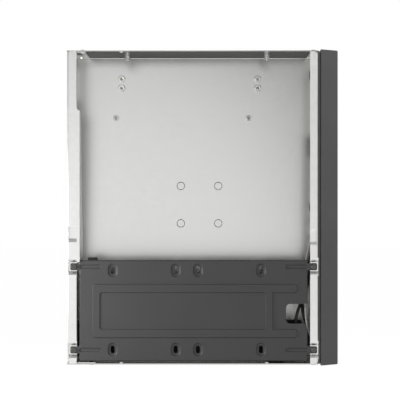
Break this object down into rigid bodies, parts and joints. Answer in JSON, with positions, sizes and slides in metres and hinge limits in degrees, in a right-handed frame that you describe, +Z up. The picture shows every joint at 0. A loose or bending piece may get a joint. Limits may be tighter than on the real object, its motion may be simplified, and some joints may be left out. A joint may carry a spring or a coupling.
{
  "type": "slim micro atx pc case",
  "caption": "slim upright steel computer case with its side cover off, a pressed bracket for two small drives and a moulded front bezel",
  "frame": {"origin": "middle of the footprint, on the table", "axes": "X from the rear panel to the front bezel, Y from the open side to the fixed side wall, Z up"},
  "size_m": [0.2654, 0.096, 0.3096],
  "materials": {
    "galvanised_steel": "bare galvanised sheet, satin",
    "plated_steel": "bright zinc plating",
    "coated_steel": "dark grey fine powder coat",
    "black_screw": "black plating",
    "bezel_plastic": "dark grey moulding, fine texture",
    "black_plastic": "black moulding",
    "circuit_board": "green solder mask",
    "socket_shell": "bright tin plating",
    "clear_plastic": "clear moulding",
    "cable_jacket": "black cable jacket",
    "lead_jacket": "white wire jacket"
  },
  "bodies": {
    "chassis": {"audio_cable": "cable_jacket", "audio_cable_plug": "black_plastic", "board_plugs": "black_plastic", "bracket_screws": "black_screw", "chassis_rivets": "plated_steel", "chassis_shell": "galvanised_steel", "cover_studs": "plated_steel", "drive_bracket": "coated_steel", "drive_light_pipe": "clear_plastic", "front_bezel": "bezel_plastic", "front_panel": "galvanised_steel", "headphone_jack": "black_plastic", "indicator_lamps": "clear_plastic", "insulating_sheet": "black_plastic", "io_board": "circuit_board", "io_board_screws": "black_screw", "microphone_jack": "black_plastic", "power_lead": "lead_jacket", "power_lead_plug": "lead_jacket", "power_light_pipe": "clear_plastic", "power_switch": "black_plastic", "rear_panel": "galvanised_steel", "reset_switch": "black_plastic", "slot_cover_1": "galvanised_steel", "slot_cover_2": "galvanised_steel", "slot_cover_3": "galvanised_steel", "slot_cover_4": "galvanised_steel", "slot_cover_screws": "plated_steel", "supply_standoffs": "plated_steel", "usb_cable": "cable_jacket", "usb_cable_plug": "black_plastic", "usb_socket_1": "socket_shell", "usb_socket_2": "socket_shell", "usb_tongues": "black_plastic", "wall_rivets": "plated_steel"},
    "power_button": {"power_button": "bezel_plastic", "power_plunger": "black_plastic"},
    "reset_button": {"reset_button": "bezel_plastic", "reset_plunger": "black_plastic"}
  },
  "joints": [
    {"name": "power_push", "type": "slide", "parent": "chassis", "child": "power_button", "axis": [-1, 0, 0], "range_m": [0, 0.001], "stiffness_N_per_m": 1000},
    {"name": "reset_push", "type": "slide", "parent": "chassis", "child": "reset_button", "axis": [-1, 0, 0], "range_m": [0, 0.001], "stiffness_N_per_m": 800}
  ]
}
